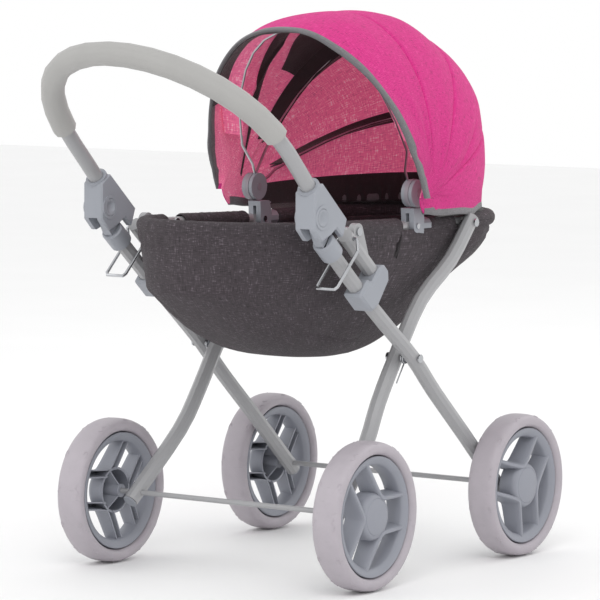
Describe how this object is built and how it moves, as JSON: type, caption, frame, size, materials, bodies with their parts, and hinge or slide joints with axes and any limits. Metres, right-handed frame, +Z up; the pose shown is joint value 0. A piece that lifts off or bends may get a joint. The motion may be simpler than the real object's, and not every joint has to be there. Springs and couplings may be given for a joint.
{
  "type": "doll stroller",
  "caption": "Folding doll pram: scissor tube frame on spoked wheels, fabric bassinet bag, folding bow hood and arched push handle.",
  "frame": {"origin": "on the ground under the middle of the outer box", "axes": "+X to the right of whoever pushes, +Y forwards from the handle to the hood end, +Z up"},
  "size_m": [0.349, 0.6248, 0.5712],
  "materials": {
    "tube": "satin light grey",
    "joint": "moulded light grey",
    "grip": "foam sleeve",
    "tyre": "soft pale grey tread",
    "wheel": "moulded grey",
    "steel": "bright plated",
    "hood": "woven",
    "bag": "melange weave"
  },
  "bodies": {
    "frame": {"front_leg_left": "tube", "front_leg_right": "tube", "leg_plug_front_left": "joint", "leg_plug_front_right": "joint", "strut_bracket_left": "joint", "strut_bracket_right": "joint", "support_strut_left": "tube", "support_strut_right": "tube", "strut_bolt_left": "steel", "strut_bolt_right": "steel", "handle_knuckle_left": "joint", "handle_knuckle_right": "joint", "front_axle": "steel"},
    "rear_legs": {"rear_leg_left": "tube", "rear_leg_right": "tube", "leg_plug_rear_left": "joint", "leg_plug_rear_right": "joint", "frame_pivot_bolt_left": "steel", "frame_pivot_bolt_right": "steel", "pivot_spacer_left": "joint", "pivot_spacer_right": "joint", "pivot_spring_left": "steel", "pivot_spring_right": "steel", "rim_bolt_left": "steel", "rim_bolt_right": "steel", "rear_axle": "steel"},
    "handle": {"handle_tube": "tube", "handle_grip": "grip", "handle_yoke_left": "joint", "handle_yoke_right": "joint"},
    "button_left": {"handle_button_left": "joint"},
    "button_right": {"handle_button_right": "joint"},
    "basket": {"rim_rear": "tube", "bassinet_bag": "bag"},
    "hood_base": {"rim_front": "tube", "hood": "hood", "hood_bow_rear": "steel", "hood_clip_left": "joint", "hood_clip_right": "joint", "rim_hinge_pin_left": "steel", "rim_hinge_pin_right": "steel", "hood_hub_left": "joint", "hood_hub_right": "joint"},
    "front_bow": {"hood_bow_front": "steel"},
    "middle_bow": {"hood_bow_middle": "steel"},
    "bail_left": {"latch_bail_left": "steel"},
    "bail_right": {"latch_bail_right": "steel"},
    "wheel_rear_left": {"tyre_rear_left": "tyre", "wheel_rear_left": "wheel", "hub_cap_rear_left": "wheel"},
    "wheel_rear_right": {"tyre_rear_right": "tyre", "wheel_rear_right": "wheel", "hub_cap_rear_right": "wheel"},
    "wheel_front_left": {"tyre_front_left": "tyre", "wheel_front_left": "wheel", "hub_cap_front_left": "wheel"},
    "wheel_front_right": {"tyre_front_right": "tyre", "wheel_front_right": "wheel", "hub_cap_front_right": "wheel"}
  },
  "joints": [
    {"name": "rear_left_wheel_spin", "type": "hinge", "parent": "rear_legs", "child": "wheel_rear_left", "pos_m": [-0.159, -0.08657, 0.075], "axis": [1, 0, 0], "continuous": true},
    {"name": "rear_right_wheel_spin", "type": "hinge", "parent": "rear_legs", "child": "wheel_rear_right", "pos_m": [0.159, -0.08657, 0.075], "axis": [1, 0, 0], "continuous": true},
    {"name": "front_left_wheel_spin", "type": "hinge", "parent": "frame", "child": "wheel_front_left", "pos_m": [-0.159, 0.20043, 0.075], "axis": [1, 0, 0], "continuous": true},
    {"name": "front_right_wheel_spin", "type": "hinge", "parent": "frame", "child": "wheel_front_right", "pos_m": [0.159, 0.20043, 0.075], "axis": [1, 0, 0], "continuous": true},
    {"name": "frame_fold", "type": "hinge", "parent": "frame", "child": "rear_legs", "pos_m": [0, 0.03693, 0.221], "axis": [1, 0, 0], "range_deg": [0, 40], "deforming": ["bassinet_bag", "hood", "pivot_spring_left", "pivot_spring_right"]},
    {"name": "basket_lift", "type": "hinge", "parent": "frame", "child": "basket", "pos_m": [0, -0.06507, 0.35607], "axis": [1, 0, 0], "range_deg": [0, 59.6]},
    {"name": "basket_fold", "type": "hinge", "parent": "basket", "child": "hood_base", "pos_m": [0, 0.08893, 0.352], "axis": [1, 0, 0], "range_deg": [-120.4, 0]},
    {"name": "hood_fold", "type": "hinge", "parent": "hood_base", "child": "front_bow", "pos_m": [0, 0.08693, 0.386], "axis": [-1, 0, 0], "range_deg": [0, 68], "deforming": ["hood"]},
    {"name": "middle_bow_fold", "type": "hinge", "parent": "hood_base", "child": "middle_bow", "pos_m": [0, 0.08693, 0.386], "axis": [-1, 0, 0], "range_deg": [0, 24.5]},
    {"name": "handle_fold", "type": "hinge", "parent": "frame", "child": "handle", "pos_m": [0, -0.14107, 0.374], "axis": [1, 0, 0], "range_deg": [0, 50]},
    {"name": "handle_button_left", "type": "slide", "parent": "handle", "child": "button_left", "axis": [1, 0, 0], "range_m": [0, 0.003], "stiffness_N_per_m": 400},
    {"name": "handle_button_right", "type": "slide", "parent": "handle", "child": "button_right", "axis": [1, 0, 0], "range_m": [-0.003, 0], "stiffness_N_per_m": 400},
    {"name": "latch_bail_left", "type": "hinge", "parent": "frame", "child": "bail_left", "pos_m": [-0.131, -0.08007, 0.35027], "axis": [1, 0, 0], "range_deg": [0, 35]},
    {"name": "latch_bail_right", "type": "hinge", "parent": "frame", "child": "bail_right", "pos_m": [0.131, -0.08007, 0.35027], "axis": [1, 0, 0], "range_deg": [0, 35]}
  ],
  "couplings": [
    {"joint": "basket_lift", "follows": "frame_fold", "ratio": 1.4863},
    {"joint": "basket_fold", "follows": "frame_fold", "ratio": -3.0053},
    {"joint": "middle_bow_fold", "follows": "hood_fold", "ratio": 0.36}
  ]
}
